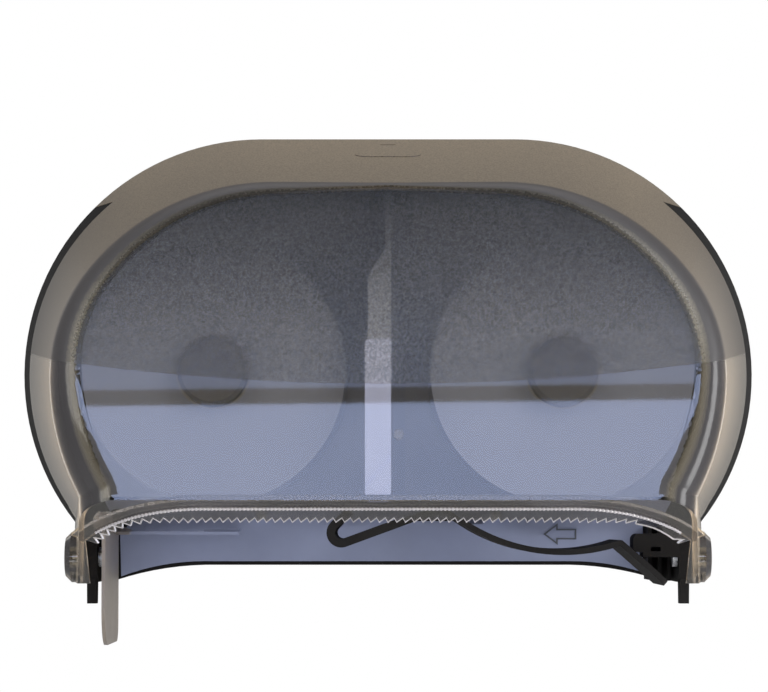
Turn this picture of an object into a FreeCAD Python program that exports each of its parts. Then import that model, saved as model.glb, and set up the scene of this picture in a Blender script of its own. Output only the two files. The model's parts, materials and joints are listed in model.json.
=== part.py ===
import FreeCAD, Part
import math
import os

# Twin toilet paper dispenser, millimetres.
# +X is right as seen from the front, +Y points into the wall, +Z is up.
# The origin is the middle of the four wall screw holes, on the wall plane.

# Rear outline against the wall
RIM_TOP = 117.0
RIM_FLAT = 67.4
RIM_R = 125.0
RIM_NECK_Z = -86.0
RIM_FOOT_X = 166.0
FOOT_Z = -117.0

# Front face outline
FACE_TOP = 77.6
FACE_HALF = 162.2
FACE_MID_Z = -15.0
FACE_CORNER_R = 115.0
FACE_SIDE_R = 78.0
FACE_LOW_R = 130.0
FACE_LOW_Z = -72.0
FACE_FOOT_X = 147.0
CHIN_Z = -75.6

# Hood
DEPTH = 150.0
WALL = 2.8
CREASE_TOP_R = 2.5
CREASE_FOOT_R = 24.0
CREASE_INNER_R = 0.6
REAR_Y = -6.4
SIDE_CUT_Y = -36.0
SIDE_CUT_TOP = 80.6
SIDE_IN_X = 120.0
CHIN_SLOPE = 1.7
MOUTH_HALF = 90.0
MOUTH_EDGE = 9.0
MOUTH_R = 72.0
MOUTH_TURN = 55.0
MOUTH_FOOT_U = 151.5
MOUTH_FOOT_V = 130.0
PAD_LONG = 34.0
PAD_WIDE = 16.0
PAD_RISE = 0.35
PAD_SINK = 1.5
PAD_Y = -60.0

# Serrated strip
STRIP_T = 1.8
STRIP_LAP = 6.0
STRIP_REACH = 12.0
STRIP_HALF = 147.0
STRIP_TURN = 60.0
TOOTH_PITCH = 4.25
TOOTH_DEPTH = 4.0
SMOOTH_FROM = 121.0
SMOOTH_TO = 141.0

# Cover hinge
HINGE_Y = -45.0
HINGE_Z = -104.0
EAR_R = 13.0
EAR_IN = 155.4
EAR_OUT = 165.6
EAR_EDGE = 3.0
EAR_SKIN = 2.5
EAR_SWEEP_R = 28.0
HINGE_PIN_R = 3.0
PIN_HEAD_R = 5.0
PIN_HEAD_T = 2.5
RUN_FIT = 0.08
ARM_IN = 148.6
ARM_OUT = 154.8
ARM_R = 12.8
TAB_Z = -127.8
TAB_TOP_HALF = 8.0
TAB_FOOT_HALF = 5.0

# Rear housing and back panel
FLOOR_T = 3.0
BLIND = 1.0
RIM_DEPTH = 6.0
RIM_WALL = 3.0
SIDE_WALL_DEPTH = 35.6
GAP = 0.4
ARCH_HALF = 96.0
ARCH_MID_X = 121.0
ARCH_MID_DROP = 2.4
HOUSING_ARCH_Z = -108.6
HOUSING_ARCH_END = (144.0, -116.8)
PANEL_ARCH_Z = -106.6
PANEL_ARCH_END = (142.0, -115.2)
PANEL_FRONT = -8.0
PANEL_BACK = -6.0
PANEL_TOP = 89.0
PANEL_R = 97.0
PANEL_LOW_R = 150.0
PANEL_NECK_Z = -88.0
PANEL_SIDE_X = 140.4
MOUNT_X = 240.0
MOUNT_Z = 80.0
MOUNT_HOLE_R = 2.6
ACCESS_R = 7.0
PANEL_SCREWS = ((100, 40), (-100, 40), (140, -10), (-140, -10), (60, -45), (-60, -45))
PANEL_POST_R = 4.0
PANEL_SCREW_LEN = 6.0
RIB_X = (136.0, 141.0, 146.0)
RIB_T = 1.8
RIB_Y = -30.0
RIB_TOP = -88.0
ARROW_X0 = 81.8
ARROW_Z = -92.4
ARROW_L = 17.4
ARROW_H = 11.4
ARROW_HEAD = 7.6
ARROW_SHAFT = 5.6
ARROW_LINE = 0.8
ARROW_RISE = 0.6
GUIDE_R = 76.0
GUIDE_T = 2.0
GUIDE_RISE = 3.0
GUIDE_X0 = 2.0
GUIDE_X1 = 30.0
GUIDE_TOP = -40.0
GUIDE_FOOT = -74.0
SINK = 0.5

# Screws
SCREW_R = 1.5
SCREW_HOLE_R = 1.7
SCREW_HEAD_R = 3.2
SCREW_HEAD_H = 2.0
SCREW_BEVEL = 0.7
SCREW_HEAD_SIDES = 12
SCREW_SHANK_SIDES = 8
CROSS_HALF = 1.9
CROSS_T = 0.8
CROSS_DEEP = 1.1

# Rolls and spindles
ROLL_X = 86.3
ROLL_Z = -12.0
ROLL_R = 65.2
ROLL_BACK = -16.0
ROLL_FRONT = -112.0
CORE_R = 18.6
CORE_T = 1.0
SPINDLE_R = 17.2
SPINDLE_T = 2.5
SPINDLE_FRONT = -121.0
FLANGE_R = 25.0
FLANGE_T = 3.0
SPRING_SLOTS = 3
SPRING_SLOT_W = 4.0
SPRING_SLOT_FROM = 12.0
SPRING_SLOT_TO = 62.0
SPINDLE_SCREW_DEG = (60, 180, 300)
CAP_T = 4.0
CAP_BEVEL = 2.0
CAP_PLUG = 8.0
CAP_PLUG_T = 2.0

# Centre divider and its front column
DIVIDER_T = 2.4
DIVIDER_FRONT = -138.0
DIVIDER_TOP = 74.9
DIVIDER_FOOT = -74.4
DIVIDER_CORNER = 12.0
DIVIDER_FLANGE = 9.0
DIVIDER_FLANGE_T = 2.4
DIVIDER_FLANGE_TOP = 71.8
DIVIDER_SCREWS = ((5.5, 50.0), (5.5, -40.0), (-5.5, 50.0), (-5.5, -40.0))
COLUMN_T = 2.5
COLUMN_LEFT = -9.7
COLUMN_LEFT_LOW = -11.2
COLUMN_RIGHT = 1.5
COLUMN_TOP = 45.8
COLUMN_SLANT = 12.0
COLUMN_TIP = 3.0
COLUMN_STEP_Z = 2.6
COLUMN_TOP_ROUND = 8.0
COLUMN_FOOT_ROUND = 3.0
NOTCH_X = (-2.0, -0.5)
NOTCH_Z = (3.2, 9.9)
NOTCH_FLOOR = 1.5
GROOVE_RIGHT_Z = -53.3
GROOVE_LEFT_Z = -69.7
GROOVE_W = 0.8
WEB_T = 2.0
WEB_DEEP = 9.0
WEB_FOOT_RISE = 4.0
WEB_TOP_DROP = 16.0

# Reserve guard, a bent strip under the right roll
GUARD_FRONT = -115.0
GUARD_BACK = -36.0
GUARD_R = 89.0
GUARD_T = 2.8
GUARD_APEX = (26.1, -78.9)
GUARD_LEFT_DEG = 42.0
GUARD_RIGHT_DEG = 18.6
RAMP_END = (138.1, -116.7)
RAMP_ROUND = 18.0
HOOK_C = (-23.0, -91.4)
HOOK_R_OUT = 7.3
HOOK_R_IN = 3.0
HOOK_BACK_DEG = 47.0
HOOK_TAIL = 10.0
GUARD_WEB_X = (9.0, 35.5)
GUARD_WEB_Z = -85.6
GUARD_WEB_T = 3.0

# Rail, shoe and end stop of the guard
RAIL_Z0 = -84.5
RAIL_Z1 = -78.5
RAIL_Y0 = -24.0
RAIL_Y1 = -16.0
RAIL_X0 = -70.0
RAIL_X1 = 60.0
RAIL_FOOT = 8.0
SHOE_X0 = 19.0
SHOE_X1 = 49.0
SHOE_WALL = 2.2
SHOE_LIP = 1.2
SHOE_RELIEF = 3.0
SHOE_RELIEF_Y = -30.0
SHOE_END = 8.0
SLIDE_GAP = 0.3
STOP_X0 = 125.0
STOP_Y0 = -60.0
STOP_Y1 = -38.0
STOP_Z0 = -101.4
STOP_Z1 = -92.0
STOP_ROUND = 3.0
STOP_LEDGE = 2.6
STOP_LEDGE_X = 130.0
STOP_SLOT_X = (134.0, 139.0)
STOP_SLOT_Z = (-101.0, -98.8)
STOP_SLOT_DEEP = 12.0
PIN_ROOM = 0.6

# Brake lever
LEVER_X = -142.3
LEVER_Z = -84.0
LEVER_T = 1.8
LEVER_FRONT = -90.0
LEVER_BACK = -13.0
LEVER_FOOT = -148.1
LEVER_ROUND = 18.0
LEVER_BACK_ROUND = 9.0
HUB_R = 4.5
BOSS_R = 6.0
BOSS_FRONT = -12.0
SHAFT_R = 2.5
SHAFT_TAIL = 5.0
CLIP_R = 5.0
CLIP_T = 0.8
CLIP_SEAT = 1.0
CLIP_BACK = 1.4
CLIP_DEEP = 0.5
CLIP_MOUTH = 2.8
TONGUE_Z = -92.6
TONGUE_T = 1.6
TONGUE_END = -77.5
TONGUE_FRONT = -32.0
GUSSET_RUN = 16.0
GUSSET_DROP = 3.0
GUSSET_T = 2.0
PAD_LENGTH = 18.0
PAD_THICK = 1.2
PAD_MARGIN = 1.0

# Key-operated bolt under the top of the hood
CATCH_HALF = 9.0
CATCH_FRONT = -24.0
CATCH_T = 2.5
CATCH_Z0 = 101.0
CATCH_FOOT = 7.0
CATCH_FOOT_Z = 105.5
BOLT_HALF = 7.0
BOLT_FRONT = -27.5
BOLT_T = 3.0
BOLT_Z0 = 80.0
BOLT_Z1 = 99.0
BOLT_HEAD_HALF = 9.5
BOLT_BARB_HALF = 8.6
BOLT_BARB_H = 2.5
BOLT_SLIT = 5.0
BOLT_SLIT_TOP = 92.0
KEY_HALF = 4.0
KEY_W = 1.6
KEY_DEEP = 5.0
LOCK_GUIDE_Z0 = 90.0
LOCK_GUIDE_Z1 = 97.0
LOCK_GUIDE_FRONT = -30.5
LOCK_GUIDE_BACK = -21.5
LOCK_GUIDE_HALF = 10.0
LOCK_PLATE_HALF = 16.5
LOCK_PLATE_T = 2.0
LOCK_PLATE_TOP = 105.0
LOCK_SCREWS = ((12.8, 100.8), (-12.8, 100.8))
LOCK_SCREW_LEN = 4.0

# Reach of cutting shapes past every edge, and how near an edge lies to a plane to be picked
FAR = 300.0
NEAR = 1e-4


def vec(x, y, z):
    return FreeCAD.Vector(x, y, z)


def box(x0, x1, y0, y1, z0, z1):
    return Part.makeBox(x1 - x0, y1 - y0, z1 - z0, vec(x0, y0, z0))


def rod_y(x, z, r, y0, y1):
    return Part.makeCylinder(r, y1 - y0, vec(x, y0, z), vec(0, 1, 0))


def rod_x(y, z, r, x0, x1):
    return Part.makeCylinder(r, x1 - x0, vec(x0, y, z), vec(1, 0, 0))


def tube_y(x, z, r_out, r_in, y0, y1):
    return rod_y(x, z, r_out, y0, y1).cut(rod_y(x, z, r_in, y0, y1))


def mirror(shape):
    return shape.mirror(vec(0, 0, 0), vec(1, 0, 0))


def both(shape):
    return [shape, mirror(shape)]


def fuse_all(first, others):
    for other in others:
        first = first.fuse(other)
    return first


def cut_all(shape, tools):
    for tool in tools:
        shape = shape.cut(tool)
    return shape


def holes_y(spots, r, y0, y1):
    return [rod_y(x, z, r, y0, y1) for x, z in spots]


def line(a, b):
    return Part.LineSegment(a, b).toShape()


def arc(a, m, b):
    return Part.Arc(a, m, b).toShape()


def prism(edges, direction):
    wire = Part.Wire(Part.__sortEdges__(edges))
    return Part.Face(wire).extrude(direction)


def poly_xz(points, y0, y1):
    corners = [vec(x, y0, z) for x, z in points]
    return Part.Face(Part.makePolygon(corners + corners[:1])).extrude(vec(0, y1 - y0, 0))


def poly_yz(points, x0, x1):
    corners = [vec(x0, y, z) for y, z in points]
    return Part.Face(Part.makePolygon(corners + corners[:1])).extrude(vec(x1 - x0, 0, 0))


def around(cx, cz, r, deg):
    a = math.radians(deg)
    return cx + r * math.cos(a), cz + r * math.sin(a)


def many_sided(x, z, r, sides, y0, y1):
    return poly_xz([around(x, z, r, 360 * i / sides) for i in range(sides)], y0, y1)


def edges_along(shape, axis, test):
    """Straight edges parallel to the axis whose middle passes the test."""
    picked = []
    for edge in shape.Edges:
        if len(edge.Vertexes) != 2:
            continue
        span = edge.Vertexes[1].Point.sub(edge.Vertexes[0].Point)
        if abs(abs(span.dot(axis)) - span.Length) < NEAR and test(edge.CenterOfMass):
            picked.append(edge)
    return picked


def screw_y(x, z, y_seat, length):
    """Cross-slot screw of few faces, driven towards the wall, head seated at y_seat."""
    face_y = y_seat - SCREW_HEAD_H
    head = many_sided(x, z, SCREW_HEAD_R, SCREW_HEAD_SIDES, face_y, y_seat)
    head = head.makeChamfer(SCREW_BEVEL, [e for e in head.Edges if abs(e.CenterOfMass.y - face_y) < NEAR])
    shank = many_sided(x, z, SCREW_R, SCREW_SHANK_SIDES, y_seat, y_seat + length)
    t = CROSS_T / 2
    y1 = face_y + CROSS_DEEP
    across = box(x - CROSS_HALF, x + CROSS_HALF, face_y - SINK, y1, z - t, z + t)
    upright = box(x - t, x + t, face_y - SINK, y1, z - CROSS_HALF, z + CROSS_HALF)
    return head.fuse(shank).cut(across).cut(upright)


def screws(spots, y_seat, length):
    return Part.makeCompound([screw_y(x, z, y_seat, length) for x, z in spots])


def save(shape, name):
    shape.exportStep("parts/" + name + ".step")


# Centres of the tangent arcs of the front face outline
SIDE_CX = FACE_HALF - FACE_SIDE_R
CORNER_CZ = FACE_TOP - FACE_CORNER_R
CORNER_RISE = FACE_MID_Z - CORNER_CZ
CORNER_RUN = math.sqrt((FACE_CORNER_R - FACE_SIDE_R) ** 2 - CORNER_RISE ** 2)
CORNER_CX = SIDE_CX - CORNER_RUN
BLEND_DEG = math.degrees(math.atan2(CORNER_RISE, CORNER_RUN))
RIM_CZ = RIM_TOP - RIM_R


def closed_outline(y, top, flat, arcs, foot_x, foot_z):
    """Symmetrical wire in the plane y: flat top, arcs down each side, straight cheeks and foot."""
    def side(sign):
        edges = []
        for cx, cz, r, start, end in arcs:
            spots = [around(cx, cz, r, d) for d in (start, (start + end) / 2, end)]
            edges.append(arc(*[vec(sign * px, y, pz) for px, pz in spots]))
        edges.append(line(vec(sign * spots[2][0], y, spots[2][1]), vec(sign * foot_x, y, foot_z)))
        return edges

    edges = [line(vec(-flat, y, top), vec(flat, y, top))]
    edges += side(1)
    edges.append(line(vec(foot_x, y, foot_z), vec(-foot_x, y, foot_z)))
    edges += side(-1)[::-1]
    return Part.Wire(edges)


def rim_wire(y, inset=0.0):
    neck = math.degrees(math.asin((RIM_NECK_Z - RIM_CZ) / RIM_R))
    r = RIM_R - inset
    arcs = [(RIM_FLAT, RIM_CZ, r, 90, BLEND_DEG),
            (RIM_FLAT, RIM_CZ, r, BLEND_DEG, 0),
            (RIM_FLAT, RIM_CZ, r, 0, neck)]
    return closed_outline(y, RIM_TOP - inset, RIM_FLAT, arcs, RIM_FOOT_X - inset, FOOT_Z)


def face_wire(y, inset=0.0):
    low = math.degrees(math.asin((FACE_LOW_Z - FACE_MID_Z) / FACE_LOW_R))
    arcs = [(CORNER_CX, CORNER_CZ, FACE_CORNER_R - inset, 90, BLEND_DEG),
            (SIDE_CX, FACE_MID_Z, FACE_SIDE_R - inset, BLEND_DEG, 0),
            (FACE_HALF - FACE_LOW_R, FACE_MID_Z, FACE_LOW_R - inset, 0, low)]
    return closed_outline(y, FACE_TOP - inset, CORNER_CX, arcs, FACE_FOOT_X - inset, FOOT_Z)


def panel_wire(y):
    low = math.degrees(math.asin((PANEL_NECK_Z - RIM_CZ) / PANEL_LOW_R))
    low_cx = RIM_FLAT + PANEL_R - PANEL_LOW_R
    arcs = [(RIM_FLAT, RIM_CZ, PANEL_R, 90, 0),
            (low_cx, RIM_CZ, PANEL_LOW_R, 0, low)]
    return closed_outline(y, PANEL_TOP, RIM_FLAT, arcs, PANEL_SIDE_X, FOOT_Z)


def rim_plate(y0, y1, inset=0.0):
    return Part.Face(rim_wire(y0, inset)).extrude(vec(0, y1 - y0, 0))


def taper(inset):
    """Tapered body between the face and rim outlines, drawn in by the given wall."""
    front = face_wire(-DEPTH + inset, inset)
    rear = rim_wire(REAR_Y, inset)
    return Part.makeLoft([front, rear], True, True)


def rounded_taper(inset, top_r, foot_r):
    """Tapered body whose front edge is tight at the top and rounds out evenly down each side."""
    half = taper(inset).common(box(0, FAR, -FAR, FAR, -FAR, FAR))
    front = -DEPTH + inset
    crease = [(i + 1, e) for i, e in enumerate(half.Edges)
              if e.BoundBox.YLength < NEAR and abs(e.BoundBox.YMin - front) < NEAR
              and e.BoundBox.XMax > NEAR and e.BoundBox.ZMax > FOOT_Z + NEAR]
    crease.sort(key=lambda item: -item[1].CenterOfMass.z)
    growth = (foot_r - top_r) / sum(e.Length for i, e in crease)
    radii = []
    r = top_r
    for i, e in crease:
        radii.append((i, r, r + growth * e.Length))
        r += growth * e.Length
    sheet = FreeCAD.newDocument()
    body = sheet.addObject("Part::Feature", "half")
    body.Shape = half
    edge_round = sheet.addObject("Part::Fillet", "edge_round")
    edge_round.Base = body
    edge_round.Edges = radii
    sheet.recompute()
    rounded = edge_round.Shape.copy()
    return rounded.fuse(mirror(rounded)).removeSplitter()


# Chin plane: local X along the width, local Y down the slope towards the wall, local Z into the hood
CHIN_LEN = math.hypot(CHIN_SLOPE, 1.0)
CHIN_ALONG = vec(0, CHIN_SLOPE / CHIN_LEN, -1 / CHIN_LEN)
CHIN_IN = vec(0, 1 / CHIN_LEN, CHIN_SLOPE / CHIN_LEN)
CHIN_FRAME = FreeCAD.Placement(vec(0, -DEPTH, CHIN_Z),
                               FreeCAD.Rotation(vec(1, 0, 0), CHIN_ALONG, CHIN_IN, "XYZ"))


def in_chin_plane(shape):
    shape.Placement = CHIN_FRAME
    return shape


def below_chin(lift):
    """Everything under the sloping chin plane, raised by the given wall."""
    rise = lift * CHIN_LEN / CHIN_SLOPE
    slope = [(y, CHIN_Z - (y + DEPTH) / CHIN_SLOPE + rise) for y in (-FAR, FAR)]
    return poly_yz(slope + [(FAR, -2 * FAR), (-FAR, -2 * FAR)], -FAR, FAR)


def arch_point(side, turn_deg, depth):
    """Point of the mouth's round end, turned away from the straight edge, inside it by depth."""
    u, v = around(MOUTH_HALF, MOUTH_EDGE + MOUTH_R, MOUTH_R - depth, turn_deg - 90)
    return side * u, v


def arch_edges(side, turn_deg, depth, z):
    """Arc edge of one round end, and its last point."""
    spots = [arch_point(side, turn_deg * part, depth) for part in (0.0, 0.5, 1.0)]
    start, middle, end = [vec(u, v, z) for u, v in spots]
    return arc(start, middle, end), start, end


def mouth_cut():
    """Arched paper mouth through the chin wall."""
    edges = []
    starts = []
    feet = []
    for s in (1, -1):
        bend, start, end = arch_edges(s, MOUTH_TURN, 0.0, -FAR / 10)
        foot = vec(s * MOUTH_FOOT_U, MOUTH_FOOT_V, -FAR / 10)
        edges += [bend, line(end, foot)]
        starts.append(start)
        feet.append(foot)
    edges += [line(*starts), line(*feet)]
    return in_chin_plane(prism(edges, vec(0, 0, FAR / 5)))


# Sloping top: local Y up the slope towards the wall, local Z out of the surface
TOP_SLOPE = math.atan2(RIM_TOP - FACE_TOP, REAR_Y + DEPTH)
TOP_OUT = vec(0, -math.sin(TOP_SLOPE), math.cos(TOP_SLOPE))
TOP_BACK = vec(0, math.cos(TOP_SLOPE), math.sin(TOP_SLOPE))


def on_top(shape, y):
    """Shape moved from the origin to the sloping top at the given distance from the wall."""
    z = RIM_TOP + (y - REAR_Y) * math.tan(TOP_SLOPE)
    placed = shape.copy()
    placed.Placement = FreeCAD.Placement(vec(0, y, z),
                                         FreeCAD.Rotation(vec(1, 0, 0), TOP_BACK, TOP_OUT, "XYZ"))
    return placed


def post(r, z0, z1):
    return Part.makeCylinder(r, z1 - z0, vec(0, 0, z0))


def oval_pad():
    half = (PAD_LONG - PAD_WIDE) / 2
    r = PAD_WIDE / 2
    pad = box(-half, half, -r, r, -PAD_SINK, PAD_RISE)
    for x in (-half, half):
        end = post(r, -PAD_SINK, PAD_RISE)
        end.translate(vec(x, 0, 0))
        pad = pad.fuse(end)
    return pad.removeSplitter()


def make_hood():
    outer = rounded_taper(0.0, CREASE_TOP_R, CREASE_FOOT_R).cut(below_chin(0.0))
    hollow = rounded_taper(WALL, CREASE_INNER_R, CREASE_FOOT_R - WALL).cut(below_chin(WALL))
    hood = outer.cut(hollow).cut(mouth_cut())
    sweep = rod_x(HINGE_Y, HINGE_Z, EAR_SWEEP_R, -FAR, FAR)
    open_side = box(SIDE_IN_X, FAR, SIDE_CUT_Y, FAR, -FAR, SIDE_CUT_TOP).cut(sweep)
    open_foot = box(-FAR, FAR, SIDE_CUT_Y, FAR, -FAR, RIM_NECK_Z).cut(sweep)
    hood = cut_all(hood, both(open_side) + [open_foot])
    ear = rod_x(HINGE_Y, HINGE_Z, EAR_R, EAR_IN, EAR_OUT)
    ear = ear.makeChamfer(EAR_EDGE, [e for e in ear.Edges if abs(e.CenterOfMass.x - EAR_OUT) < NEAR])
    bore = rod_x(HINGE_Y, HINGE_Z, HINGE_PIN_R + RUN_FIT, EAR_IN - BLIND, EAR_OUT - EAR_SKIN)
    hood = cut_all(fuse_all(hood, both(ear)), both(bore))
    hood = hood.fuse(on_top(oval_pad(), PAD_Y)).cut(key_slot(CATCH_Z0, FAR))
    return hood.removeSplitter()


def under_top(y):
    """Height of the hood's inner top face at the given distance from the wall."""
    return RIM_TOP - WALL + (y - REAR_Y) * (RIM_TOP - FACE_TOP) / (REAR_Y + DEPTH - WALL)


def make_catch():
    """Upright plate on a foot that is bonded under the sloping top of the hood."""
    plate_back = CATCH_FRONT + CATCH_T
    foot_back = CATCH_FRONT + CATCH_FOOT
    return poly_yz([(CATCH_FRONT, CATCH_Z0), (plate_back, CATCH_Z0), (plate_back, CATCH_FOOT_Z),
                    (foot_back, CATCH_FOOT_Z), (foot_back, under_top(foot_back)),
                    (CATCH_FRONT, under_top(CATCH_FRONT))], -CATCH_HALF, CATCH_HALF)


def strip_point(run, depth):
    """Point along the mouth edge at a run from the middle, inside the edge by depth."""
    side = math.copysign(1.0, run)
    past = abs(run) - MOUTH_HALF
    if past <= 0:
        return run, MOUTH_EDGE + depth
    return arch_point(side, math.degrees(past / (MOUTH_R - STRIP_REACH)), depth)


def tooth_row():
    """Tips and roots of the teeth from left to right, with the smooth stretch left out."""
    reach = MOUTH_HALF + math.radians(STRIP_TURN) * (MOUTH_R - STRIP_REACH)
    count = int(reach / TOOTH_PITCH)
    spots = []
    for i in range(-count, count + 1):
        spots.append(strip_point(i * TOOTH_PITCH, STRIP_REACH))
        root = strip_point((i + 0.5) * TOOTH_PITCH, STRIP_REACH - TOOTH_DEPTH)
        if i < count and not SMOOTH_FROM < root[0] < SMOOTH_TO:
            spots.append(root)
    return spots


def make_strip():
    teeth = [vec(u, v, WALL) for u, v in tooth_row()]
    right, right_start, right_end = arch_edges(1, STRIP_TURN, -STRIP_LAP, WALL)
    left, left_start, left_end = arch_edges(-1, STRIP_TURN, -STRIP_LAP, WALL)
    edges = [line(a, b) for a, b in zip(teeth, teeth[1:])]
    edges += [line(teeth[-1], right_end), right, line(right_start, left_start)]
    edges += [left, line(left_end, teeth[0])]
    strip = in_chin_plane(prism(edges, vec(0, 0, STRIP_T)))
    return strip.common(box(-STRIP_HALF, STRIP_HALF, -FAR, FAR, -FAR, FAR))


def foot_arch(top_z, end):
    """Cutter for the shallow arch along the lower edge of the flat rear pieces."""
    end_x, end_z = end
    edges = []
    for s in (1, -1):
        edges.append(arc(vec(s * ARCH_HALF, FAR, top_z), vec(s * ARCH_MID_X, FAR, top_z - ARCH_MID_DROP),
                         vec(s * end_x, FAR, end_z)))
        edges.append(line(vec(s * end_x, FAR, end_z), vec(s * end_x, FAR, -FAR)))
    edges.append(line(vec(-ARCH_HALF, FAR, top_z), vec(ARCH_HALF, FAR, top_z)))
    edges.append(line(vec(-end_x, FAR, -FAR), vec(end_x, FAR, -FAR)))
    return prism(edges, vec(0, -2 * FAR, 0))


def mount_spots():
    return [(x, z) for x in (-MOUNT_X / 2, MOUNT_X / 2) for z in (-MOUNT_Z / 2, MOUNT_Z / 2)]


def hinge_arm():
    """Arm that carries the cover hinge, with the tab that hangs below it."""
    arm = box(ARM_IN, ARM_OUT, HINGE_Y, -FLOOR_T, HINGE_Z - ARM_R, HINGE_Z + ARM_R)
    arm = arm.fuse(rod_x(HINGE_Y, HINGE_Z, ARM_R, ARM_IN, ARM_OUT))
    corners = [(HINGE_Y - TAB_TOP_HALF, HINGE_Z), (HINGE_Y + TAB_TOP_HALF, HINGE_Z),
               (HINGE_Y + TAB_FOOT_HALF, TAB_Z), (HINGE_Y - TAB_FOOT_HALF, TAB_Z)]
    arm = arm.fuse(poly_yz(corners, ARM_IN + BLIND, ARM_OUT - SINK))
    return arm.cut(rod_x(HINGE_Y, HINGE_Z, HINGE_PIN_R, ARM_IN - BLIND, ARM_OUT + BLIND))


def make_housing():
    floor = rim_plate(-FLOOR_T, 0.0)
    ring = rim_plate(-RIM_DEPTH, 0.0).cut(rim_plate(-FAR, FAR, RIM_WALL))
    ring = ring.cut(box(-FAR, FAR, -FAR, FAR, -FAR, FOOT_Z + RIM_WALL))
    cheek = taper(0.0).cut(taper(RIM_WALL))
    cheek = cheek.common(box(SIDE_IN_X, FAR, -SIDE_WALL_DEPTH, -RIM_DEPTH, FOOT_Z, SIDE_CUT_TOP - GAP))
    join = rim_plate(REAR_Y, -RIM_DEPTH).cut(rim_plate(-FAR, FAR, RIM_WALL))
    join = join.common(box(SIDE_IN_X, FAR, -FAR, 0.0, FOOT_Z, SIDE_CUT_TOP - GAP))
    sweep = rod_x(HINGE_Y, HINGE_Z, EAR_SWEEP_R + 2 * GAP, -FAR, FAR)
    housing = fuse_all(floor.fuse(ring), both(cheek.fuse(join).cut(sweep)))
    housing = housing.cut(foot_arch(HOUSING_ARCH_Z, HOUSING_ARCH_END))
    housing = fuse_all(housing, both(hinge_arm()))
    housing = fuse_all(housing, holes_y(PANEL_SCREWS, PANEL_POST_R, PANEL_BACK, -FLOOR_T))
    ribs = [box(x - RIB_T / 2, x + RIB_T / 2, RIB_Y, -FLOOR_T, FOOT_Z + BLIND, RIB_TOP) for x in RIB_X]
    housing = fuse_all(housing, ribs)
    housing = housing.fuse(rod_y(LEVER_X, LEVER_Z, BOSS_R, BOSS_FRONT, -FLOOR_T))
    housing = housing.cut(rod_y(LEVER_X, LEVER_Z, SHAFT_R, -FAR, -BLIND))
    housing = cut_all(housing, holes_y(PANEL_SCREWS, SCREW_R, -FAR, -BLIND))
    housing = cut_all(housing, holes_y(LOCK_SCREWS, SCREW_R, -FAR, -BLIND))
    housing = cut_all(housing, holes_y(mount_spots(), MOUNT_HOLE_R, -FAR, FAR))
    return housing.removeSplitter()


def arrow_outline(inset):
    """Outline of a left-pointing arrow, drawn in by the given line width."""
    lean = math.atan2(ARROW_H / 2, ARROW_HEAD)
    shaft = ARROW_SHAFT / 2 - inset
    tip = ARROW_X0 + inset / math.sin(lean)
    neck = ARROW_X0 + ARROW_HEAD - inset
    tail = ARROW_X0 + ARROW_L - inset
    barb = (neck - tip) * math.tan(lean)
    upper = [(tip, ARROW_Z), (neck, ARROW_Z + barb), (neck, ARROW_Z + shaft), (tail, ARROW_Z + shaft)]
    return upper + [(x, 2 * ARROW_Z - z) for x, z in upper[:0:-1]]


def make_panel():
    panel = Part.Face(panel_wire(PANEL_FRONT)).extrude(vec(0, PANEL_BACK - PANEL_FRONT, 0))
    rib_room = box(RIB_X[0] - RIB_T, FAR, -FAR, FAR, -FAR, RIB_TOP + BLIND)
    lever_room = rod_y(LEVER_X, LEVER_Z, BOSS_R + GAP, -FAR, FAR)
    panel = cut_all(panel, [foot_arch(PANEL_ARCH_Z, PANEL_ARCH_END), rib_room, lever_room])
    panel = cut_all(panel, holes_y(PANEL_SCREWS, SCREW_R, -FAR, FAR))
    panel = cut_all(panel, holes_y(mount_spots(), ACCESS_R, -FAR, FAR))
    arrow = poly_xz(arrow_outline(0.0), PANEL_FRONT - ARROW_RISE, PANEL_FRONT + SINK)
    arrow = arrow.cut(poly_xz(arrow_outline(ARROW_LINE), -FAR, PANEL_FRONT))
    guide = tube_y(ROLL_X, ROLL_Z, GUIDE_R, GUIDE_R - GUIDE_T, PANEL_FRONT - GUIDE_RISE, PANEL_FRONT + SINK)
    wedge = poly_xz([(ROLL_X, ROLL_Z), (GUIDE_X0, GUIDE_TOP),
                     (GUIDE_X0, GUIDE_FOOT), (GUIDE_X1, GUIDE_FOOT)], -FAR, FAR)
    return panel.fuse(arrow).fuse(guide.common(wedge)).removeSplitter()


def spindle_screw_spots(x):
    r = (FLANGE_R + SPINDLE_R) / 2
    return [around(x, ROLL_Z, r, 90 - deg) for deg in SPINDLE_SCREW_DEG]


def make_spindle(x):
    """Hollow roll post with a screwed flange and slots that let its sides spring."""
    bore = SPINDLE_R - SPINDLE_T
    spindle = tube_y(x, ROLL_Z, SPINDLE_R, bore, SPINDLE_FRONT, PANEL_FRONT)
    spindle = spindle.fuse(tube_y(x, ROLL_Z, FLANGE_R, bore, PANEL_FRONT - FLANGE_T, PANEL_FRONT))
    for i in range(SPRING_SLOTS):
        slot = box(x - SPRING_SLOT_W / 2, x + SPRING_SLOT_W / 2, SPINDLE_FRONT + SPRING_SLOT_FROM,
                   SPINDLE_FRONT + SPRING_SLOT_TO, ROLL_Z, ROLL_Z + FLANGE_R)
        slot.rotate(vec(x, 0, ROLL_Z), vec(0, 1, 0), 360 * i / SPRING_SLOTS)
        spindle = spindle.cut(slot)
    return cut_all(spindle, holes_y(spindle_screw_spots(x), SCREW_HOLE_R, -FAR, FAR)).removeSplitter()


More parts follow.
